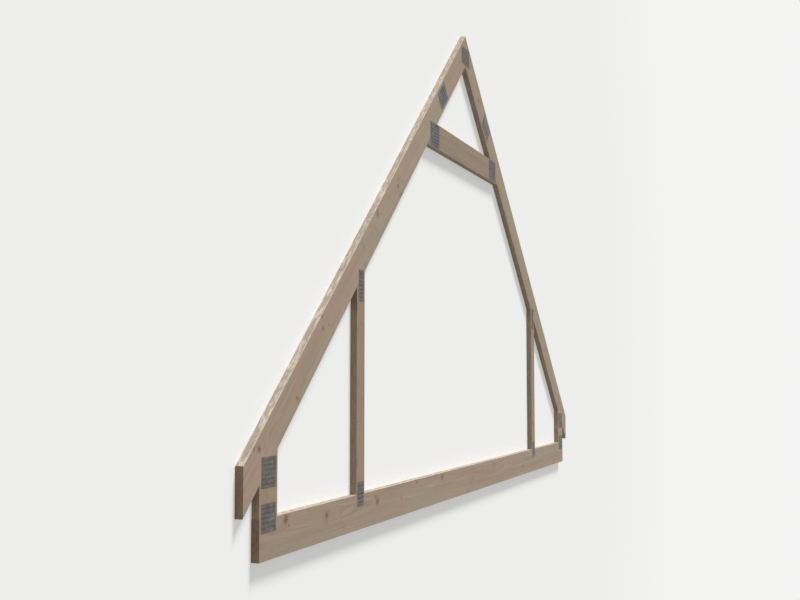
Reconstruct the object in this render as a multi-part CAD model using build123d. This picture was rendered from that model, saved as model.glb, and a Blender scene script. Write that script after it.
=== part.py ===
from build123d import *

import math
import os

# Attic roof truss of planed softwood, joined by punched steel nail plates on both faces.
# Millimetres. The truss lies on its rear face: X across the span, Y up the truss, Z through it.
# The origin is the middle of the outline, on the plane that the rear plates lie on.

# Setting out
wall_span = 6960.0  # outside to outside of the two heel posts
eaves_overhang = 170.0  # from a heel post out to the plumb cut of the rafter's tail
pitch = 42.0  # slope of the rafters, in degrees
heel_rise = 285.0  # from the chord's top edge up to the top corner of the tail
ceiling_height = 2470.0  # from the chord's top edge up to the collar's underside
room_width = 4240.0  # clear width between the knee posts
splice_share = 0.622  # of the ceiling's half width, out to the plumb joint of the rafter's two lengths

# Timbers
timber_thickness = 47.0
chord_depth = 220.0
rafter_depth = 195.0
collar_depth = 195.0
heel_post_width = 195.0
knee_post_width = 120.0
arris_radius = 3.0  # the planed edges along the grain are rounded, the sawn ends are sharp

# Nail plates, width by height, or along and across the rafter at its splice
plate_thickness = 1.2
heel_head_plate = (160.0, 160.0)
heel_foot_plate = (160.0, 150.0)
knee_head_plate = (75.0, 200.0)
knee_foot_plate = (100.0, 150.0)
collar_plate = (200.0, 180.0)
upper_rafter_plate = (200.0, 150.0)
apex_plate = (200.0, 150.0)
heel_head_drop = 28.0  # from the joint down to the middle of the plate on it
knee_head_drop = 42.0
collar_plate_inset = 60.0  # from the joint's lower corner in to the plate's outer edge
collar_plate_lift = 10.0  # bare timber left under the collar plate
apex_plate_cover = 12.0  # bare timber left at the upper corners of the apex plate

# Punched slots of the plates, in rows across the plate
slot_width = 3.5
slot_length = 12.0
slot_row_pitch = 25.0
slot_column_pitch = 40.0  # every fifth column of the real plate's slots
slot_margin = 10.0  # least solid strip along the plate's edges

# Worked out
slope = math.tan(math.radians(pitch))
rafter_plumb_depth = rafter_depth / math.cos(math.radians(pitch))
half_span = wall_span / 2
half_length = half_span + eaves_overhang
apex_height = chord_depth + heel_rise + half_length * slope
ceiling = chord_depth + ceiling_height
collar_top = ceiling + collar_depth
half_ceiling = (apex_height - rafter_plumb_depth - ceiling) / slope
half_collar_top = (apex_height - rafter_plumb_depth - collar_top) / slope
splice = half_ceiling * splice_share
timber_rear = plate_thickness
timber_front = plate_thickness + timber_thickness
middle_height = apex_height / 2


def rafter_top(x):
    """Height of the rafters' top edge at a distance x from the middle."""
    return apex_height - x * slope


def rafter_underside(x):
    """Height of the rafters' lower edge at a distance x from the middle."""
    return rafter_top(x) - rafter_plumb_depth


def sawn_timber(corners, grain):
    """A piece of planed stock, from its outline on the left half and its grain's direction.

    Only the edges along the grain are rounded, because the ends are sawn after planing.
    """
    outline = Polyline(*[(x, y - middle_height) for x, y in corners], close=True)
    timber = extrude(make_face(outline), timber_thickness)
    planed_edges = [
        edge
        for edge in timber.edges()
        if abs(edge.tangent_at(0).dot(Vector(*grain).normalized())) > 0.9999
    ]
    return Pos(0, 0, timber_rear) * fillet(planed_edges, arris_radius)


def bottom_chord():
    corners = [
        (-half_span, 0),
        (half_span, 0),
        (half_span, chord_depth),
        (-half_span, chord_depth),
    ]
    return sawn_timber(corners, grain=(1, 0, 0))


def lower_rafter():
    """From the tail, past the collar, up to the plumb cut of the splice."""
    corners = [
        (-half_length, rafter_underside(half_length)),
        (-splice, rafter_underside(splice)),
        (-splice, rafter_top(splice)),
        (-half_length, rafter_top(half_length)),
    ]
    return sawn_timber(corners, grain=(1, slope, 0))


def upper_rafter():
    """From the splice up to the plumb cut at the apex."""
    corners = [
        (-splice, rafter_underside(splice)),
        (0, rafter_underside(0)),
        (0, rafter_top(0)),
        (-splice, rafter_top(splice)),
    ]
    return sawn_timber(corners, grain=(1, slope, 0))


def collar_tie():
    """Fitted between the rafters, with its ends cut to their slope."""
    corners = [
        (-half_ceiling, ceiling),
        (half_ceiling, ceiling),
        (half_collar_top, collar_top),
        (-half_collar_top, collar_top),
    ]
    return sawn_timber(corners, grain=(1, 0, 0))


def post(outer_face, width):
    """An upright from the chord's top edge to the rafter, with its head cut to the slope."""
    inner_face = outer_face - width
    corners = [
        (-outer_face, chord_depth),
        (-inner_face, chord_depth),
        (-inner_face, rafter_underside(inner_face)),
        (-outer_face, rafter_underside(outer_face)),
    ]
    return sawn_timber(corners, grain=(0, 1, 0))


def slot_count(length, pitch):
    """How many slots stand in line along a plate's side."""
    return int((length - 2 * slot_margin) / pitch) + 1


def nail_plate(size):
    """A flat plate with its rows of upright slots, from which the teeth were punched."""
    width, height = size
    columns = slot_count(width, slot_column_pitch)
    rows = slot_count(height - slot_length, slot_row_pitch)
    slots = GridLocations(slot_column_pitch, slot_row_pitch, columns, rows)
    return extrude(
        Rectangle(width, height) - slots * Rectangle(slot_width, slot_length),
        plate_thickness,
    )


def plates_at(name, size, x, y, turn=0):
    """The front and the rear plate of one joint, by node name, turned to a rafter's slope or not."""
    plate = Rot(0, 0, turn) * nail_plate(size)
    return {
        name + "_front": Pos(x, y - middle_height, timber_front) * plate,
        name + "_rear": Pos(x, y - middle_height, 0) * plate,
    }


heel_post_middle = half_span - heel_post_width / 2
knee_post_outer_face = room_width / 2 + knee_post_width
knee_post_middle = room_width / 2 + knee_post_width / 2
collar_plate_middle = half_ceiling - collar_plate_inset - collar_plate[0] / 2
splice_middle = rafter_top(splice) - rafter_plumb_depth / 2

# Timbers and plates of the left half, which the right half mirrors
left_timbers = {
    "lower_rafter": lower_rafter(),
    "upper_rafter": upper_rafter(),
    "heel_post": post(half_span, heel_post_width),
    "knee_post": post(knee_post_outer_face, knee_post_width),
}
left_plates = {
    "heel_head_plate": (
        heel_head_plate,
        -heel_post_middle,
        rafter_underside(heel_post_middle) - heel_head_drop,
    ),
    "heel_foot_plate": (heel_foot_plate, -heel_post_middle, chord_depth),
    "knee_head_plate": (
        knee_head_plate,
        -knee_post_middle,
        rafter_underside(knee_post_middle) - knee_head_drop,
    ),
    "knee_foot_plate": (knee_foot_plate, -knee_post_middle, chord_depth),
    "collar_plate": (
        collar_plate,
        -collar_plate_middle,
        ceiling + collar_plate_lift + collar_plate[1] / 2,
    ),
}

nodes = {"bottom_chord": bottom_chord(), "collar_tie": collar_tie()}
for name, timber in left_timbers.items():
    nodes[name + "_left"] = timber
    nodes[name + "_right"] = mirror(timber, about=Plane.YZ)
for name, (size, x, y) in left_plates.items():
    nodes.update(plates_at(name + "_left", size, x, y))
    nodes.update(plates_at(name + "_right", size, -x, y))
for side, x, turn in (("_left", -splice, pitch), ("_right", splice, -pitch)):
    nodes.update(plates_at("upper_rafter_plate" + side, upper_rafter_plate, x, splice_middle, turn))
apex_plate_top = rafter_top(apex_plate[0] / 2) - apex_plate_cover
nodes.update(plates_at("apex_plate", apex_plate, 0, apex_plate_top - apex_plate[1] / 2))

os.makedirs("parts", exist_ok=True)
for name, shape in nodes.items():
    export_step(shape, "parts/" + name + ".step")

print("overall", 2 * half_length, apex_height, timber_front + plate_thickness)
print("flat ceiling", 2 * half_ceiling, "nodes", len(nodes))
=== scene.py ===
import math

import bmesh
import bpy
from mathutils import Matrix, Vector


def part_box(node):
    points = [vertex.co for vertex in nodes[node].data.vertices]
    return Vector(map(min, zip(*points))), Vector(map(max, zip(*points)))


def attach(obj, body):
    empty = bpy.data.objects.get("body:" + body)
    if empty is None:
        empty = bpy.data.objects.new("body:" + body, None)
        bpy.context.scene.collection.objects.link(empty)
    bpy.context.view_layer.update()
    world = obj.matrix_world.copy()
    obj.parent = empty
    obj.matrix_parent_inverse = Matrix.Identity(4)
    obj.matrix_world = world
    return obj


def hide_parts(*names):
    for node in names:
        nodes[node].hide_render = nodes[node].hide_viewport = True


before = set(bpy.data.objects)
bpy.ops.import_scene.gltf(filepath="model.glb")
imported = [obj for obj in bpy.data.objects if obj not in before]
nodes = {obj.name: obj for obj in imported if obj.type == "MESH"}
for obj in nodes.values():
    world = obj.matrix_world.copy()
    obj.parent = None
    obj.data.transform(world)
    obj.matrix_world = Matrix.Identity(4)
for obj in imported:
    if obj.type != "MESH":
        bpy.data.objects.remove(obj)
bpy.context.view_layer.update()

scene = bpy.context.scene

# Node trees are written as formulas. A Value stands for one output of a node.


class Value:
    def __init__(self, tree, socket):
        self.tree = tree
        self.socket = socket

    def maths(self, operation, other=None):
        node = addNode(self.tree, "ShaderNodeMath", {0: self, 1: other}, operation=operation)
        return Value(self.tree, node.outputs[0])

    def __add__(self, other):
        return self.maths("ADD", other)

    def __sub__(self, other):
        return self.maths("SUBTRACT", other)

    def __mul__(self, other):
        return self.maths("MULTIPLY", other)

    def __truediv__(self, other):
        return self.maths("DIVIDE", other)

    def __abs__(self):
        return self.maths("ABSOLUTE")

    def vectorMaths(self, operation, other=None, out="Vector"):
        node = addNode(self.tree, "ShaderNodeVectorMath", {0: self, 1: other}, operation=operation)
        return Value(self.tree, node.outputs[out])

    def stretched(self, x, y, z):
        return self.vectorMaths("MULTIPLY", (x, y, z))

    def length(self):
        return self.vectorMaths("LENGTH", out="Value")

    def split(self, kind):
        node = addNode(self.tree, kind, {0: self})
        return [Value(self.tree, socket) for socket in node.outputs]

    def parts(self):  # x, y and z of a vector
        return self.split("ShaderNodeSeparateXYZ")

    def channels(self):  # red, green and blue of a colour
        return self.split("ShaderNodeSeparateColor")

    def fade(self, low, high, toLow=0.0, toHigh=1.0):  # a smooth step between two limits
        inputs = {0: self, 1: low, 2: high, 3: toLow, 4: toHigh}
        node = addNode(self.tree, "ShaderNodeMapRange", inputs, interpolation_type="SMOOTHSTEP")
        return Value(self.tree, node.outputs["Result"])

    def toward(self, color, amount):  # this colour, mixed with another
        return mixed(self.tree, amount, self, color)

    def noise(self, scale=1.0, detail=2.0, roughness=0.5, distortion=0.0):
        inputs = {
            "Vector": self,
            "Scale": scale,
            "Detail": detail,
            "Roughness": roughness,
            "Distortion": distortion,
        }
        return Value(self.tree, addNode(self.tree, "ShaderNodeTexNoise", inputs).outputs["Fac"])

    def lineNoise(self):  # smooth noise along a line
        node = addNode(self.tree, "ShaderNodeTexNoise", {"W": self}, noise_dimensions="1D")
        return Value(self.tree, node.outputs["Fac"])

    def dice(self):  # a random number for each whole number
        node = addNode(self.tree, "ShaderNodeTexWhiteNoise", {"W": self}, noise_dimensions="1D")
        return Value(self.tree, node.outputs["Value"])


def feed(tree, socket, value):  # a link from an output, else a plain number, vector or colour
    if isinstance(value, Value):
        value = value.socket
    if isinstance(value, bpy.types.NodeSocket):
        tree.links.new(value, socket)
    elif value is not None:
        socket.default_value = (*value, 1.0) if socket.type == "RGBA" else value


def fill(tree, node, inputs):  # inputs go by name or by number
    for name, value in inputs.items():
        feed(tree, node.inputs[name], value)


def addNode(tree, kind, inputs=None, **settings):
    node = tree.nodes.new(kind)
    for name, value in settings.items():
        setattr(node, name, value)
    fill(tree, node, inputs or {})
    return node


def mixed(tree, amount, a, b, mode="MIX"):  # colour a, then b as amount goes from 0 to 1
    inputs = {"Factor": amount, "A": a, "B": b}
    node = addNode(tree, "ShaderNodeMix", inputs, data_type="RGBA", blend_type=mode)
    return Value(tree, node.outputs["Result"])


def greatest(values):
    result = values[0]
    for value in values[1:]:
        result = result.maths("MAXIMUM", value)
    return result


def textureMapping(tree, inputs):  # coordinates about a place, turned and scaled
    node = addNode(tree, "ShaderNodeMapping", inputs, vector_type="TEXTURE")
    return Value(tree, node.outputs[0])


def newGroup(name, inputs, outputs):  # inputs by their first values, and None for a vector
    group = bpy.data.node_groups.new(name, "ShaderNodeTree")
    kinds = {type(None): "Vector", float: "Float", tuple: "Color"}
    for label, value in inputs.items():
        kind = "NodeSocket" + kinds[type(value)]
        socket = group.interface.new_socket(name=label, in_out="INPUT", socket_type=kind)
        if value is not None:
            socket.default_value = value
    for label in outputs:
        kind = "NodeSocketColor" if label == "Color" else "NodeSocketFloat"
        group.interface.new_socket(name=label, in_out="OUTPUT", socket_type=kind)
    sources = addNode(group, "NodeGroupInput").outputs
    given = {label: Value(group, sources[label]) for label in inputs}
    return group, given, addNode(group, "NodeGroupOutput")


def useGroup(tree, group, inputs):
    node = addNode(tree, "ShaderNodeGroup", inputs, node_tree=group)
    return {socket.name: Value(tree, socket) for socket in node.outputs}


def newMaterial(name):
    material = bpy.data.materials.new(name)
    material.use_nodes = True
    return material, material.node_tree, material.node_tree.nodes["Principled BSDF"]


def objectPlace(tree):
    return Value(tree, addNode(tree, "ShaderNodeTexCoord").outputs["Object"])


def bumped(tree, height, strength):  # heights are in metres
    inputs = {"Height": height, "Strength": strength, "Distance": 1.0}
    return addNode(tree, "ShaderNodeBump", inputs).outputs["Normal"]


# Knots: one branch for each stretch of the trunk, as a cone that widens away from the pith

branchShape = {
    "climb": 0.35,  # rise for each metre outward
    "slimmest": 0.05,  # radius for each metre outward
    "stouter": 0.16,  # what chance may add to it
    "leastRadius": 0.0005,
    "mostRadius": 0.019,
    "ringWidth": 0.0016,  # of the branch's own yearly rings
    "firstPlace": 0.24,  # where branches may stand in their stretch of trunk, as shares of it
    "whorlSpread": 0.4,
    "ownSpread": 0.12,
    "deadShare": 0.4,  # dead branches keep a full rim of bark
    "seedStep": 7.31,  # how many stretches lie between one seed and the next
    "grownShuffle": 17.3,  # these make new random numbers of an old one
    "deadShuffle": 41.7,
}


def knotGroup():
    group, given, out = newGroup(
        "branchKnots",
        {"FromPith": None, "Spacing": 0.5, "Seed": 0.0, "Side": 0.0, "Size": 1.0, "Chance": 0.6},
        ("Knot", "Core", "Bark", "Halo", "Push"),
    )
    shape = branchShape
    along, across, through = given["FromPith"].parts()
    stretch = along / given["Spacing"] + given["Seed"] * shape["seedStep"]
    cell = stretch.maths("FLOOR")
    pair = addNode(group, "ShaderNodeCombineXYZ", {"X": cell, "Y": given["Side"]}).outputs[0]
    draw = addNode(group, "ShaderNodeTexWhiteNoise", {"Vector": pair}, noise_dimensions="2D")
    jitter, turn, bulk = Value(group, draw.outputs["Color"]).channels()

    # The branch's axis leaves the pith at an angle of its own and climbs
    ownPlace = jitter * shape["ownSpread"] + shape["firstPlace"]
    centre = cell.dice() * shape["whorlSpread"] + ownPlace
    fromCentre = (stretch.maths("FRACT") - centre) * given["Spacing"]
    angle = turn * math.tau
    cosine, sine = angle.maths("COSINE"), angle.maths("SINE")
    outward = across * cosine + through * sine
    aside = through * cosine - across * sine
    rise = fromCentre - outward * shape["climb"]
    distance = (aside * aside + rise * rise).maths("SQRT")
    stoutness = (bulk * shape["stouter"] + shape["slimmest"]) * given["Size"]
    radius = (outward * stoutness).maths("MINIMUM", given["Size"] * shape["mostRadius"])
    radius = radius.maths("MAXIMUM", shape["leastRadius"])
    ragged = given["FromPith"].noise(55.0, 3.0, 0.6) * 0.9 + 0.55
    ratio = distance / radius * ragged  # 1 at the knot's rim
    grown = (turn * shape["grownShuffle"]).maths("FRACT").maths("LESS_THAN", given["Chance"])
    present = outward.fade(0.002, 0.012) * grown
    knot = ratio.fade(0.8, 1.05, 1.0, 0.0) * present
    rings = (distance * (math.tau / shape["ringWidth"])).maths("SINE") * 0.12 + 0.88
    halo = ratio.fade(0.9, 3.2, 1.0, 0.0) * present

    # A check runs through the knot's heart
    lean = jitter * math.tau
    fromCheck = abs((aside * lean.maths("COSINE") + rise * lean.maths("SINE")) / radius)
    check = fromCheck.fade(0.05, 0.22, 1.0, 0.0) * ratio.fade(0.5, 0.8, 1.0, 0.0)
    core = ratio.fade(0.1, 0.4, 0.8, 0.0).maths("MAXIMUM", check)

    # Bark stays round dead branches, and in traces round sound ones
    dead = (turn * shape["deadShuffle"]).maths("FRACT").maths("LESS_THAN", shape["deadShare"])
    patchy = given["FromPith"].noise(90.0).fade(0.35, 0.6, 0.3, 1.0)
    rim = ratio.fade(0.78, 0.98) * ratio.fade(1.0, 1.25, 1.0, 0.0)
    bark = rim * patchy * (dead * 0.75 + 0.25)
    results = {
        "Knot": knot * rings,
        "Core": core * present,
        "Bark": bark * present,
        "Halo": halo,
        "Push": halo * halo * (radius * 0.9),  # how far the trunk's rings bend round the knot
    }
    fill(group, out, results)
    return group


branches = [  # round the pith, the last two as pin knots between the whorls
    dict(size=1.0, chance=0.75, apart=1.0),
    dict(size=0.85, chance=0.6, apart=1.0),
    dict(size=1.15, chance=0.5, apart=1.0),
    dict(size=0.6, chance=0.6, apart=1.0),
    dict(size=0.3, chance=0.8, apart=0.57),
    dict(size=0.35, chance=0.8, apart=0.61),
]


def gatheredKnots(group, knots, given, fromPith):
    found = []
    for side, branch in enumerate(branches, start=1):
        inputs = {
            "FromPith": fromPith,
            "Spacing": given["KnotSpacing"] * branch["apart"],
            "Seed": given["Seed"],
            "Side": float(side),
            "Size": given["KnotSize"] * branch["size"],
            "Chance": branch["chance"],
        }
        found.append(useGroup(group, knots, inputs))
    return {name: greatest([each[name] for each in found]) for name in found[0]}


# Planed softwood: knots, streaks and stains over yearly rings, whose pith may lie outside the piece

seedSteps = {"X": 13.7, "Y": 5.1, "Z": 9.3}  # how far one seed moves the noise, in metres

ringShape = {
    "sway": 0.075,  # how far the rings stray from circles, in metres: in long waves,
    "flame": 0.006,  # in tongues
    "ripple": 0.005,  # and in fine ripples
    "changes": 60.0,  # how fast good and bad years take turns
    "unevenness": 2.2,  # how much they differ, in ring widths
}

woodColors = {"sapwood": (0.53, 0.425, 0.318), "heartwood": (0.485, 0.36, 0.252)}

woodLayers = {  # what lies over them, at strengths from 0 to 1
    "lateWood": dict(color=(0.345, 0.215, 0.125), strength=0.62),
    "darkStreak": dict(color=(0.35, 0.26, 0.19), strength=0.5),
    "paleStreak": dict(color=(0.64, 0.545, 0.435), strength=0.36),
    "fibre": dict(color=(0.36, 0.27, 0.19), strength=0.22),
    "greenStain": dict(color=(0.43, 0.41, 0.285), strength=0.42),
    "pinkStain": dict(color=(0.53, 0.385, 0.315), strength=0.4),
    "dust": dict(color=(0.37, 0.33, 0.285), strength=0.38),
    "smudge": dict(color=(0.27, 0.22, 0.17), strength=0.42),
    "paleFleck": dict(color=(0.76, 0.68, 0.56), strength=0.26),
    "knotHalo": dict(color=(0.36, 0.215, 0.115), strength=0.5),
    "knot": dict(color=(0.25, 0.14, 0.078), strength=0.8),
    "knotCore": dict(color=(0.075, 0.042, 0.028), strength=0.85),
    "bark": dict(color=(0.05, 0.032, 0.024), strength=0.85),
    # narrow sides painted paler, a painted highlight
    "sideHighlight": dict(color=(0.475, 0.425, 0.36), strength=0.5),
    "dimSide": dict(color=(0.33, 0.285, 0.23), strength=0.4),
    # cream specks of painted highlight on the narrow sides
    "creamSpeck": dict(color=(0.78, 0.725, 0.6), strength=0.85),
    "brownSpeck": dict(color=(0.29, 0.235, 0.18), strength=0.75),
    "sawnEnd": dict(color=(0.3, 0.205, 0.13), strength=0.62),
    "endRing": dict(color=(0.17, 0.1, 0.06), strength=0.5),
    "endCheck": dict(color=(0.06, 0.04, 0.03), strength=0.85),
    "jointGap": dict(color=(0.09, 0.06, 0.04), strength=0.8),
    # the wood under a plate: crushed and stained, with painted shade in its slots and along its
    # edges
    "pressedAndShaded": dict(color=(0.12, 0.085, 0.06), strength=0.7),
    # a painted highlight along the arrises
    "arrisHighlight": dict(color=(0.72, 0.63, 0.5), strength=0.5),
}

# Noise that runs with the grain: how fine it is along and across, then its detail, roughness
# and distortion. A patch appears as the noise rises between two values.
patches = {
    "greenStain": dict(grain=(1.04, 3.9), between=(0.5, 0.68)),
    "pinkStain": dict(grain=(0.9, 4.2, 3.0, 0.55), between=(0.5, 0.68)),
    "dust": dict(grain=(3.74, 11.9, 5.0, 0.65), between=(0.45, 0.75)),
    "smudge": dict(grain=(9.0, 9.0, 4.0, 0.6, 0.4), between=(0.6, 0.74)),
    "paleFleck": dict(grain=(60.0, 60.0, 3.0, 0.7), between=(0.62, 0.74)),
    # paler and darker stretches along the narrow sides
    "paleStretch": dict(grain=(2.6, 14.0, 3.0), between=(0.38, 0.62)),
    "creamSpeck": dict(grain=(15.0, 70.0, 4.0, 0.7), between=(0.47, 0.62)),
    "brownSpeck": dict(grain=(22.1, 76.5, 3.0, 0.7), between=(0.56, 0.68)),
}

woodRelief = {  # heights in metres
    "lateWood": 0.00022,
    "fibre": 0.00028,
    "streak": 0.0004,
    "bark": -0.0003,
    "knotCore": -0.0003,
    "endCheck": -0.0015,
    "jointGap": -0.0008,
    "sawMarks": 0.0009,
}

woodRoughness = {"planed": 0.6, "streak": 0.16, "knot": -0.18, "endGrain": 0.15}


def layered(wood, masks):  # lays the named layers over the wood, one after another
    for name, mask in masks.items():
        layer = woodLayers[name]
        wood = wood.toward(layer["color"], mask * layer["strength"])
    return wood


def grainNoise(place, along, across, detail=2.0, roughness=0.5, distortion=0.0):
    return place.stretched(along, across, across).noise(1.0, detail, roughness, distortion)


def patchMask(name, place):
    patch = patches[name]
    return grainNoise(place, *patch["grain"]).fade(*patch["between"])


def seededPlace(group, given):  # moves each timber to its own part of the noise
    steps = {axis: given["Seed"] * step for axis, step in seedSteps.items()}
    shift = addNode(group, "ShaderNodeCombineXYZ", steps).outputs[0]
    return given["Coordinates"].vectorMaths("ADD", shift)


def yearlyRings(given, seeded, fromPith, push):
    radial = fromPith.stretched(0.0, 1.0, 1.0).length()
    sway = (grainNoise(seeded, 0.55, 3.5) - 0.5) * ringShape["sway"]
    ripple = (grainNoise(seeded, 4.0, 34.0) - 0.5) * ringShape["ripple"]
    flame = (grainNoise(seeded, 7.0, 12.0) - 0.5) * ringShape["flame"]
    age = radial + sway + ripple + flame + push
    uneven = (age * ringShape["changes"] + given["Seed"]).lineNoise() * ringShape["unevenness"]
    season = (age / given["RingWidth"] + uneven).maths("FRACT")
    lateWood = season.fade(0.35, 0.9) * season.fade(0.93, 1.0, 1.0, 0.0)
    vigour = grainNoise(seeded, 0.4, 9.0, 1.0).fade(0.3, 0.7, 0.35, 1.0)
    return radial, ripple, age, lateWood * vigour


def freshWood(group, age, lateWood, streak, fibre):
    heart = (age + streak * 0.03).fade(0.055, 0.12, 1.0, 0.0)
    wood = mixed(group, heart, woodColors["sapwood"], woodColors["heartwood"])
    masks = {
        "lateWood": lateWood,
        "darkStreak": streak.fade(0.42, 0.75),
        "paleStreak": streak.fade(0.25, 0.45, 1.0, 0.0),
        "fibre": fibre.fade(0.35, 0.8),
    }
    return layered(wood, masks)


def weathered(wood, seeded):  # stains, grey dust, smudges and flecks
    names = ("greenStain", "pinkStain", "dust", "smudge", "paleFleck")
    return layered(wood, {name: patchMask(name, seeded) for name in names})


def highlightedSides(wood, seeded, narrowSide):  # narrow sides painted paler than the faces as a painted highlight, darker in stretches, with cream specks of painted highlight and brown specks
    paleStretch = patchMask("paleStretch", seeded)
    masks = {
        "sideHighlight": narrowSide,
        "dimSide": (paleStretch * -1.0 + 1.0) * narrowSide,
        "creamSpeck": patchMask("creamSpeck", seeded) * (paleStretch * 0.4 + 0.6) * narrowSide,
        "brownSpeck": patchMask("brownSpeck", seeded) * narrowSide,
    }
    return layered(wood, masks)


def endChecks(given, fromPith, radial, ripple):  # they run outward from the pith on a sawn end
    across, through = fromPith.parts()[1:]
    bearing = through.maths("ARCTAN2", across)
    sector = (bearing + ripple * 4.0) * 9.0 + given["Seed"]
    chance = sector.maths("FLOOR").dice()
    fromCheck = abs(sector.maths("FRACT") - 0.5)
    reach = chance * 0.1 + 0.01
    check = fromCheck.fade(0.012, 0.045, 1.0, 0.0) * radial.fade(reach, 0.12, 1.0, 0.0)
    return check * given["EndGrain"] * chance.fade(0.35, 0.45)


def softwoodGroup(knots):
    group, given, out = newGroup(
        "planedSoftwood",
        {
            "Coordinates": None,
            "Pith": None,
            "Seed": 0.0,
            "RingWidth": 0.005,
            "KnotSpacing": 0.5,
            "KnotSize": 1.0,
            "EndGrain": 0.0,
            "ArrisHighlight": 0.0,
            "NarrowSide": 0.0,
            "Joint": 0.0,
            "PressedAndShaded": 0.0,
            "Tint": (1.0, 1.0, 1.0, 1.0),
        },
        ("Color", "Roughness", "Height"),
    )
    endGrain, joint = given["EndGrain"], given["Joint"]
    seeded = seededPlace(group, given)
    fromPith = given["Coordinates"].vectorMaths("SUBTRACT", given["Pith"])
    knot = gatheredKnots(group, knots, given, fromPith)
    radial, ripple, age, lateWood = yearlyRings(given, seeded, fromPith, knot["Push"])
    streak = grainNoise(seeded, 1.1, 42.0, 4.0, 0.62)
    fibre = grainNoise(seeded, 26.0, 900.0, 3.0, 0.6)
    endCheck = endChecks(given, fromPith, radial, ripple)

    wood = freshWood(group, age, lateWood, streak, fibre)
    wood = weathered(wood, seeded)
    knotMasks = {
        "knotHalo": knot["Halo"],
        "knot": knot["Knot"],
        "knotCore": knot["Core"],
        "bark": knot["Bark"],
    }
    wood = layered(wood, knotMasks)
    wood = highlightedSides(wood, seeded, given["NarrowSide"])
    workMasks = {  # what sawing, pressing and handling leave, with painted shade under the plates and a painted highlight along the arrises
        "sawnEnd": endGrain,
        "endRing": lateWood * endGrain,
        "endCheck": endCheck,
        "jointGap": joint,
        "pressedAndShaded": given["PressedAndShaded"],
        "arrisHighlight": given["ArrisHighlight"],
    }
    wood = layered(wood, workMasks)

    sawMarks = seeded.stretched(260.0, 30.0, 30.0).noise() * endGrain
    height = lateWood * woodRelief["lateWood"]
    height += fibre * woodRelief["fibre"]
    height += streak * woodRelief["streak"]
    height += knot["Bark"] * woodRelief["bark"]
    height += knot["Core"] * woodRelief["knotCore"]
    height += endCheck * woodRelief["endCheck"]
    height += joint * woodRelief["jointGap"]
    height += sawMarks * woodRelief["sawMarks"]
    rough = streak * woodRoughness["streak"] + woodRoughness["planed"]
    rough += knot["Knot"] * woodRoughness["knot"]
    rough += endGrain * woodRoughness["endGrain"]
    results = {
        "Color": mixed(group, 1.0, wood, given["Tint"], "MULTIPLY"),
        "Roughness": rough,
        "Height": height,
    }
    fill(group, out, results)
    return group


# Masks for a timber's sides, a painted highlight along its arrises, the lines of its cuts and the
# wood under a plate, which is partly painted shade

cutDarkness = (0.0004, 0.0016)  # a cut's dark line fades out between these distances, in metres


def sidesGroup():
    group, given, out = newGroup(
        "sawnSides",
        {"Normal": None, "Along": None, "Across": None, "HighlightAndSpecks": 1.0},
        ("EndGrain", "NarrowSide"),
    )
    along = given["Normal"].vectorMaths("DOT_PRODUCT", given["Along"], "Value")
    across = given["Normal"].vectorMaths("DOT_PRODUCT", given["Across"], "Value")
    upper = across.fade(-0.1, 0.1, 0.45, 1.0)  # undersides get less of the painted highlight and specks
    results = {
        "EndGrain": abs(along).fade(0.3, 0.5),
        "NarrowSide": abs(across).fade(0.55, 0.8, 0.0, given["HighlightAndSpecks"]) * upper,
    }
    fill(group, out, results)
    return group


# A painted highlight along the arrises, reaching further where the noise is high
def arrisHighlightGroup():
    group, given, out = newGroup(
        "paintedArrisHighlight",
        {"Coordinates": None, "HalfWidth": 0.1, "HalfThickness": 0.0235, "Reach": 0.006},
        ("Highlight",),
    )
    across, through = given["Coordinates"].parts()[1:]
    fromSide = given["HalfWidth"] - abs(across)
    fromFace = given["HalfThickness"] - abs(through)
    near = abs(fromSide) + abs(fromFace)
    chance = grainNoise(given["Coordinates"], 6.0, 40.0, 4.0, 0.7)
    reach = given["Reach"] * chance.fade(0.3, 0.75, 0.3, 1.6)
    fill(group, out, {"Highlight": near.fade(reach * 0.4, reach, 1.0, 0.0)})
    return group


def cutGroup():
    inputs = {"Place": None, "Corner": None, "Angle": 0.0}
    group, given, out = newGroup("cutLine", inputs, ("Line",))
    x, y = given["Place"].vectorMaths("SUBTRACT", given["Corner"]).parts()[:2]
    fromCut = y * given["Angle"].maths("COSINE") - x * given["Angle"].maths("SINE")
    fill(group, out, {"Line": abs(fromCut).fade(*cutDarkness, 1.0, 0.0)})
    return group


# 1 under a plate, fading out just beyond its edge: crushed wood, with painted shade in the slots
# and along the edge
def pressedAndShadedGroup():
    group, given, out = newGroup(
        "pressedAndShadedByPlate",
        {"Place": None, "Middle": None, "Turn": None, "HalfSize": None},
        ("PressedAndShaded",),
    )
    inputs = {
        "Vector": given["Place"],
        "Location": given["Middle"],
        "Rotation": given["Turn"],
        "Scale": given["HalfSize"],
    }
    x, y = textureMapping(group, inputs).parts()[:2]
    outward = greatest([abs(x), abs(y)])  # 1 at the plate's edge
    fill(group, out, {"PressedAndShaded": outward.fade(0.99, 1.015, 1.0, 0.0)})
    return group


# Timbers keep their CAD meshes. The pith is given by its places across and through the piece.

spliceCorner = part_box("lower_rafter_left")[1]  # top corner of the lower length, at the splice
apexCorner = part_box("upper_rafter_left")[1]
rafterPitch = math.degrees(math.atan2(apexCorner.y - spliceCorner.y, apexCorner.x - spliceCorner.x))
level, plumb = 0.0, 90.0  # angles of grain and cuts, in degrees

# Each timber's speck amount also sets how strongly its narrow sides get their painted highlight
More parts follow.
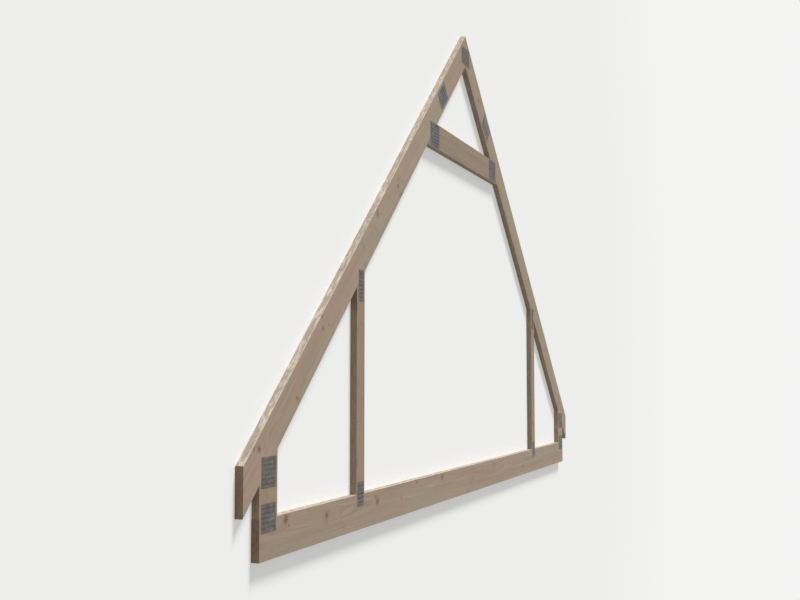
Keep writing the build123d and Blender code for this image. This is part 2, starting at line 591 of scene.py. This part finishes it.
timbers = {
    "bottom_chord": dict(
        grain=level, pith=(0.03, -0.06), seed=33.2, ringWidth=0.0052,
        knotSpacing=0.62, knotSize=1.1, highlightAndSpecks=0.9, tint=(0.95, 0.92, 0.89),
    ),
    # the collar's darker tint is partly painted shade
    "collar_tie": dict(
        grain=level, pith=(-0.04, -0.05), seed=2.3, ringWidth=0.0046,
        knotSpacing=0.5, knotSize=1.0, highlightAndSpecks=0.5, tint=(0.8, 0.765, 0.74),
    ),
    "lower_rafter_left": dict(
        grain=rafterPitch, pith=(0.02, -0.055), seed=13.4, ringWidth=0.005,
        knotSpacing=0.55, knotSize=1.0, highlightAndSpecks=1.0, tint=(1.0, 0.97, 0.95),
    ),
    "lower_rafter_right": dict(
        grain=-rafterPitch, pith=(-0.05, -0.045), seed=4.1, ringWidth=0.0043,
        knotSpacing=0.47, knotSize=1.15, highlightAndSpecks=0.9, tint=(0.93, 0.93, 0.87),
    ),
    "upper_rafter_left": dict(
        grain=rafterPitch, pith=(-0.03, -0.07), seed=5.9, ringWidth=0.0055,
        knotSpacing=0.6, knotSize=0.9, highlightAndSpecks=0.9, tint=(0.98, 0.89, 0.87),
    ),
    "upper_rafter_right": dict(
        grain=-rafterPitch, pith=(0.05, -0.06), seed=6.2, ringWidth=0.0048,
        knotSpacing=0.52, knotSize=1.0, highlightAndSpecks=0.8, tint=(0.92, 0.9, 0.85),
    ),
    # this heel post's darker tint is partly painted shade
    "heel_post_left": dict(
        grain=plumb, pith=(0.03, -0.05), seed=7.4, ringWidth=0.0045,
        knotSpacing=0.4, knotSize=1.0, highlightAndSpecks=0.35, tint=(0.93, 0.86, 0.79),
    ),
    "heel_post_right": dict(
        grain=plumb, pith=(-0.02, -0.06), seed=8.8, ringWidth=0.005,
        knotSpacing=0.42, knotSize=1.0, highlightAndSpecks=0.4, tint=(0.97, 0.92, 0.86),
    ),
    # the knee posts' darker tints are partly painted shade
    "knee_post_left": dict(
        grain=plumb, pith=(0.05, -0.05), seed=9.5, ringWidth=0.0042,
        knotSpacing=0.45, knotSize=0.9, highlightAndSpecks=0.3, tint=(0.87, 0.81, 0.75),
    ),
    "knee_post_right": dict(
        grain=plumb, pith=(-0.06, -0.05), seed=10.6, ringWidth=0.0046,
        knotSpacing=0.5, knotSize=0.9, highlightAndSpecks=0.35, tint=(0.85, 0.82, 0.76),
    ),
}

timberCuts = {  # each cut's corner of the piece's box, and its angle, mirrored on the right
    "bottom_chord": (("left", "foot", plumb), ("right", "foot", plumb)),
    "collar_tie": (("left", "foot", rafterPitch), ("right", "foot", -rafterPitch)),
    "lower_rafter": (("left", "foot", plumb), ("right", "head", plumb)),
    "upper_rafter": (("left", "foot", plumb), ("right", "head", plumb)),
    "heel_post": (("left", "foot", level), ("right", "head", rafterPitch)),
    "knee_post": (("left", "foot", level), ("right", "head", rafterPitch)),
}

timberFinish = {"gloss": 0.3, "relief": 0.7}  # specular level, and strength of the bump


def measured(name, turn):  # a node's middle, and its size along and across its own turn
    low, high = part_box(name)
    middle = (low + high) / 2
    square = Matrix.Rotation(-turn, 3, "Z")
    spread = [square @ (vert.co - middle) for vert in nodes[name].data.vertices]
    size = Vector([max(v[i] for v in spread) - min(v[i] for v in spread) for i in range(3)])
    return middle, size


def plateTurn(name):  # only the splices' plates lie along the rafters
    if "rafter" not in name:
        return 0.0
    return math.radians(rafterPitch if "_left_" in name else -rafterPitch)


def cutLines(tree, cut, name, place):  # a thin dark line along each cut
    low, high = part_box(name)
    mirrored = name.endswith("_right")
    lines = []
    for side, end, angle in timberCuts[name.removesuffix("_left").removesuffix("_right")]:
        onRight = (side == "right") != mirrored
        corner = (high.x if onRight else low.x, high.y if end == "head" else low.y, 0.0)
        turn = math.radians(-angle if mirrored else angle)
        lines.append(useGroup(tree, cut, {"Place": place, "Corner": corner, "Angle": turn})["Line"])
    return greatest(lines)


def pressedAndShadedWood(tree, pressedAndShaded, name, place):  # crushed and stained, with painted shade, as the plates' slots and edges show
    low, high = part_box(name)
    masks = []
    for plate in (node for node in nodes if node.endswith("_front")):
        near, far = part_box(plate)
        if near.x > high.x or far.x < low.x or near.y > high.y or far.y < low.y:
            continue
        turn = plateTurn(plate)
        middle, size = measured(plate, turn)
        inputs = {
            "Place": place,
            "Middle": middle,
            "Turn": (0.0, 0.0, turn),
            "HalfSize": (size.x / 2, size.y / 2, 1.0),
        }
        masks.append(useGroup(tree, pressedAndShaded, inputs)["PressedAndShaded"])
    return greatest(masks)


def timberMaterial(name, looks, effects):
    turn = math.radians(looks["grain"])
    middle, size = measured(name, turn)
    material, tree, shader = newMaterial("timber_" + name)
    place = objectPlace(tree)
    rotation = (0.0, 0.0, turn)
    coords = textureMapping(tree, {"Vector": place, "Location": middle, "Rotation": rotation})
    sideInputs = {
        "Normal": addNode(tree, "ShaderNodeNewGeometry").outputs["Normal"],
        "Along": (math.cos(turn), math.sin(turn), 0.0),
        "Across": (-math.sin(turn), math.cos(turn), 0.0),
        "HighlightAndSpecks": looks["highlightAndSpecks"],
    }
    sides = useGroup(tree, effects["sides"], sideInputs)
    halfSize = {"HalfWidth": size.y / 2, "HalfThickness": size.z / 2}
    # a painted highlight along the arrises
    highlight = useGroup(tree, effects["highlight"], {"Coordinates": coords, **halfSize})
    offEnds = sides["EndGrain"].fade(0.0, 0.5, 1.0, 0.0)
    woodInputs = {
        "Coordinates": coords,
        "Pith": (0.0, *looks["pith"]),
        "Seed": looks["seed"],
        "RingWidth": looks["ringWidth"],
        "KnotSpacing": looks["knotSpacing"],
        "KnotSize": looks["knotSize"],
        "EndGrain": sides["EndGrain"],
        "ArrisHighlight": highlight["Highlight"],
        "NarrowSide": sides["NarrowSide"],
        "Joint": cutLines(tree, effects["cut"], name, place) * offEnds,
        "PressedAndShaded": pressedAndShadedWood(tree, effects["pressedAndShaded"], name, place),
        "Tint": looks["tint"],
    }
    wood = useGroup(tree, effects["wood"], woodInputs)
    finish = {
        "Base Color": wood["Color"],
        "Roughness": wood["Roughness"],
        "Normal": bumped(tree, wood["Height"], timberFinish["relief"]),
        "Specular IOR Level": timberFinish["gloss"],
    }
    fill(tree, shader, finish)
    return material


effects = {
    "wood": softwoodGroup(knotGroup()),
    "sides": sidesGroup(),
    "highlight": arrisHighlightGroup(),
    "cut": cutGroup(),
    "pressedAndShaded": pressedAndShadedGroup(),
}
for name, looks in timbers.items():
    mesh = nodes[name].data
    mesh.materials.clear()
    mesh.materials.append(timberMaterial(name, looks, effects))
print("timbers dressed:", len(timbers))

# Nail plates: punched slots in rows, their ends drawn down where the teeth bend into the wood

punching = {
    "columnPitch": 0.008,
    "rowPitch": 0.025,
    "slotWidth": 0.0035,
    "slotLength": 0.012,
    "slotRoundness": 0.9,  # radius of a slot's corners, as a share of its half width
    "roundSteps": 3,  # points on each of those corners
    "margin": 0.010,  # least solid strip along the sides
    "lip": 0.0006,  # rounding of the slot's rim
    "toothRun": 0.0016,  # how far a tooth's root slopes into its slot
    "chamfer": 0.00025,  # of the sheared outer edge
}
quarters = ((1, 1), (-1, 1), (-1, -1), (1, -1))


def slotCount(length, pitch):  # how many slots stand in line along a plate's side
    return int(round((length - 2 * punching["margin"]) / pitch, 3)) + 1


def slotOutline(halfWidth, halfLength):
    radius = halfWidth * punching["slotRoundness"]
    steps = punching["roundSteps"]
    points = []
    for quarter, (sideX, sideY) in enumerate(quarters):
        for step in range(steps):
            angle = math.radians(90 * (quarter + step / (steps - 1)))
            x = sideX * (halfWidth - radius) + radius * math.cos(angle)
            y = sideY * (halfLength - radius) + radius * math.sin(angle)
            points.append((x, y))
    return points


def fieldEdge(columns, rows):  # the cells' corners along the edge of the punched field
    pitchX, pitchY = punching["columnPitch"], punching["rowPitch"]
    halfX, halfY = columns * pitchX / 2, rows * pitchY / 2
    points = [(i * pitchX - halfX, -halfY) for i in range(columns)]
    points += [(halfX, i * pitchY - halfY) for i in range(rows)]
    return points + [(-x, -y) for x, y in points]


def punchedPlate(name):
    turn = plateTurn(name)
    middle, size = measured(name, turn)
    low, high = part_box(name)
    outer, inner, down = (high.z, low.z, -1) if name.endswith("_front") else (low.z, high.z, 1)
    pitchX, pitchY = punching["columnPitch"], punching["rowPitch"]
    columns = slotCount(size.x, pitchX)
    rows = slotCount(size.y - punching["slotLength"], pitchY)
    mesh = bmesh.new()
    known = {}

    def ring(points, z, x=0.0, y=0.0):  # one vertex for each place, so that neighbours share theirs
        verts = []
        for spot in ((x + dx, y + dy, z) for dx, dy in points):
            key = tuple(round(value * 1e6) for value in spot)  # to the micrometre
            if key not in known:
                known[key] = mesh.verts.new(spot)
            verts.append(known[key])
        return verts

    def skin(rings):  # a closed strip of faces from each ring to the next
        for lower, upper in zip(rings, rings[1:]):
            for i in range(len(lower)):
                j = (i + 1) % len(lower)
                face = list(dict.fromkeys((lower[i], lower[j], upper[j], upper[i])))
                if len(face) > 2:
                    mesh.faces.new(face)

    lip = punching["lip"]
    halfX, halfY = punching["slotWidth"] / 2, punching["slotLength"] / 2
    rim = slotOutline(halfX + lip, halfY + lip)
    throat = slotOutline(halfX, halfY)
    root = slotOutline(halfX, halfY - punching["toothRun"])
    cell = []
    for sideX, sideY in quarters:
        cell += [(sideX * pitchX / 2, sideY * pitchY / 2)] * punching["roundSteps"]
    for column in range(columns):
        for row in range(rows):
            x = (column - (columns - 1) / 2) * pitchX
            y = (row - (rows - 1) / 2) * pitchY
            mouth = [ring(cell, outer, x, y), ring(rim, outer, x, y)]
            inside = [ring(throat, outer + down * lip, x, y), ring(root, inner, x, y)]
            skin([*mouth, *inside, ring(cell, inner, x, y)])

    # The solid border round the punched field
    field = fieldEdge(columns, rows)
    chamfer = punching["chamfer"]
    edges = []
    for inset in (chamfer, 0.0):
        growX = (size.x - 2 * inset) / (columns * pitchX)
        growY = (size.y - 2 * inset) / (rows * pitchY)
        edges.append([(x * growX, y * growY) for x, y in field])
    upper = [ring(field, outer), ring(edges[0], outer)]
    side = [ring(edges[1], outer + down * chamfer), ring(edges[1], inner)]
    skin([*upper, *side, ring(field, inner)])
    bmesh.ops.recalc_face_normals(mesh, faces=mesh.faces)
    place = Matrix.Translation((middle.x, middle.y, 0.0)) @ Matrix.Rotation(turn, 4, "Z")
    bmesh.ops.transform(mesh, matrix=place, verts=mesh.verts)
    data = bpy.data.meshes.new(name + "_punched")
    mesh.to_mesh(data)
    mesh.free()
    return bpy.data.objects.new(name + "_punched", data)


# Galvanised sheet: flakes of zinc, white bloom and grime from handling

sheet = {
    "bloomColor": (0.27, 0.265, 0.262),
    "grimeColor": (0.07, 0.058, 0.05),
    "flakesPerMetre": 190.0,
    "waviness": 0.0012,  # in metres
    "relief": 0.5,
}


def zincGroup():
    group, given, out = newGroup(
        "zincFlakes",
        {"Coordinates": None, "Tone": (0.14, 0.13, 0.125, 1.0), "Bloom": 0.5, "Grime": 0.5},
        ("Color", "Roughness", "Metallic", "Height"),
    )
    place = given["Coordinates"]
    inputs = {"Vector": place, "Scale": sheet["flakesPerMetre"]}
    flakes = addNode(group, "ShaderNodeTexVoronoi", inputs, feature="F1")
    shade, dullness = Value(group, flakes.outputs["Color"]).channels()[:2]
    bloom = place.noise(26.0, 4.0, 0.65).fade(0.5, 0.72) * given["Bloom"]
    grime = place.noise(11.0, 5.0, 0.6).fade(0.48, 0.7) * given["Grime"]
    steel = mixed(group, 1.0, given["Tone"], shade * 0.55 + 0.72, "MULTIPLY")
    results = {
        "Color": steel.toward(sheet["bloomColor"], bloom).toward(sheet["grimeColor"], grime),
        "Roughness": dullness * 0.2 + 0.4 + grime * 0.3,
        "Metallic": grime * -0.5 + 0.85,
        "Height": place.noise(45.0) * sheet["waviness"],
    }
    fill(group, out, results)
    return group


# Each joint's plates come from their own coil of sheet
coils = {
    "heel_head": dict(tone=(0.145, 0.136, 0.12), bloom=0.5, grime=0.6),
    "heel_foot": dict(tone=(0.143, 0.13, 0.128), bloom=0.6, grime=0.5),
    "knee_head": dict(tone=(0.142, 0.132, 0.114), bloom=0.4, grime=0.5),
    "knee_foot": dict(tone=(0.143, 0.132, 0.129), bloom=0.6, grime=0.6),
    "collar": dict(tone=(0.13, 0.115, 0.117), bloom=0.4, grime=0.5),
    "upper_rafter": dict(tone=(0.155, 0.148, 0.148), bloom=0.6, grime=0.4),
    "apex": dict(tone=(0.135, 0.128, 0.121), bloom=0.5, grime=0.5),
}


def galvanisedMaterial(joint, looks, zinc):
    material, tree, shader = newMaterial("galvanised_" + joint)
    inputs = {
        "Coordinates": objectPlace(tree),
        "Tone": looks["tone"],
        "Bloom": looks["bloom"],
        "Grime": looks["grime"],
    }
    steel = useGroup(tree, zinc, inputs)
    finish = {
        "Base Color": steel["Color"],
        "Roughness": steel["Roughness"],
        "Metallic": steel["Metallic"],
        "Normal": bumped(tree, steel["Height"], sheet["relief"]),
    }
    fill(tree, shader, finish)
    return material


zinc = zincGroup()
galvanised = {joint: galvanisedMaterial(joint, looks, zinc) for joint, looks in coils.items()}
plateNames = sorted(name for name in nodes if "_plate_" in name)
triangles = 0
for name in plateNames:
    plate = punchedPlate(name)
    scene.collection.objects.link(plate)
    plate.data.materials.append(galvanised[name.split("_plate")[0]])
    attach(plate, "root")
    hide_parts(name)
    triangles += sum(len(face.vertices) - 2 for face in plate.data.polygons)
print("nail plates punched:", len(plateNames), "triangles", triangles)

# Floor, lights and camera

studio = {
    "floorColor": (0.8, 0.8, 0.79),
    "backColor": (0.9, 0.9, 0.895),
    "floorRadius": 60.0,
    "floorSides": 96,
    "floorFade": (4.0, 16.0),  # where the floor turns into the backdrop, in metres from the middle
    "floorGlow": 0.335,  # extra paleness that only the camera and reflections see
    "white": (1.0, 1.0, 1.0),
    "ambient": 0.28,
    "sunFrom": (0.12, 0.9, 0.36),  # from beyond the apex, low over the floor
    "sunDistance": 10.0,
    "sunStrength": 3.1,
    "sunAngle": 14.0,  # degrees across, as a large soft box would be
    "cameraPlace": (-8.36, -0.936, 2.728),
    "cameraAim": (-1.445, -0.414, 0.025),
    "cameraReach": 200.0,
    "lens": 48.0,
}


def seenDirectly(tree):  # by the camera, in a reflection or through glass
    path = addNode(tree, "ShaderNodeLightPath")
    rays = ("Is Camera Ray", "Is Glossy Ray", "Is Transmission Ray")
    return greatest([Value(tree, path.outputs[ray]) for ray in rays])


def makeFloor():
    mesh = bmesh.new()
    sides, radius = studio["floorSides"], studio["floorRadius"]
    bmesh.ops.create_circle(mesh, cap_ends=True, segments=sides, radius=radius)
    data = bpy.data.meshes.new("floor")
    mesh.to_mesh(data)
    mesh.free()
    floor = bpy.data.objects.new("floor", data)
    scene.collection.objects.link(floor)
    material = bpy.data.materials.new("pale_floor")
    material.use_nodes = True
    tree = material.node_tree
    tree.nodes.clear()
    seen = seenDirectly(tree)
    matt = addNode(tree, "ShaderNodeBsdfDiffuse", {"Color": studio["floorColor"]})
    glow = {"Color": studio["white"], "Strength": seen * studio["floorGlow"]}
    lift = addNode(tree, "ShaderNodeEmission", glow)
    near = addNode(tree, "ShaderNodeAddShader", {0: matt.outputs[0], 1: lift.outputs[0]})
    back = addNode(tree, "ShaderNodeEmission", {"Color": studio["backColor"]})
    far = objectPlace(tree).length().fade(*studio["floorFade"]) * seen
    mix = addNode(tree, "ShaderNodeMixShader", {0: far, 1: near.outputs[0], 2: back.outputs[0]})
    addNode(tree, "ShaderNodeOutputMaterial", {"Surface": mix.outputs[0]})
    data.materials.append(material)


def makeWorld():
    world = bpy.data.worlds.new("studio")
    scene.world = world
    world.use_nodes = True
    tree = world.node_tree
    tree.nodes.clear()
    air = {"Color": studio["white"], "Strength": studio["ambient"]}
    room = addNode(tree, "ShaderNodeBackground", air)
    back = addNode(tree, "ShaderNodeBackground", {"Color": studio["backColor"]})
    inputs = {0: seenDirectly(tree), 1: room.outputs[0], 2: back.outputs[0]}
    mix = addNode(tree, "ShaderNodeMixShader", inputs)
    addNode(tree, "ShaderNodeOutputWorld", {"Surface": mix.outputs[0]})


def aimed(place, aim, up):  # rotation of a lamp or camera that looks at a point, its top towards up
    back = (Vector(place) - Vector(aim)).normalized()
    right = Vector(up).cross(back).normalized()
    top = back.cross(right)
    return Matrix((right, top, back)).transposed().to_euler()


def makeLight():
    lamp = bpy.data.lights.new("key", "SUN")
    lamp.energy = studio["sunStrength"]
    lamp.angle = math.radians(studio["sunAngle"])
    light = bpy.data.objects.new("key", lamp)
    light.location = Vector(studio["sunFrom"]) * studio["sunDistance"]
    light.rotation_euler = aimed(studio["sunFrom"], (0.0, 0.0, 0.0), (0.0, 0.0, 1.0))
    scene.collection.objects.link(light)


def makeCamera():
    lens = bpy.data.cameras.new("camera")
    lens.lens = studio["lens"]
    lens.clip_end = studio["cameraReach"]
    camera = bpy.data.objects.new("camera", lens)
    camera.location = studio["cameraPlace"]
    # The truss lies flat, and its apex is at the top of the picture
    camera.rotation_euler = aimed(studio["cameraPlace"], studio["cameraAim"], (0.0, 1.0, 0.0))
    scene.collection.objects.link(camera)
    scene.camera = camera


makeFloor()
makeWorld()
makeLight()
makeCamera()
scene.view_settings.view_transform = "Standard"
print("studio made")
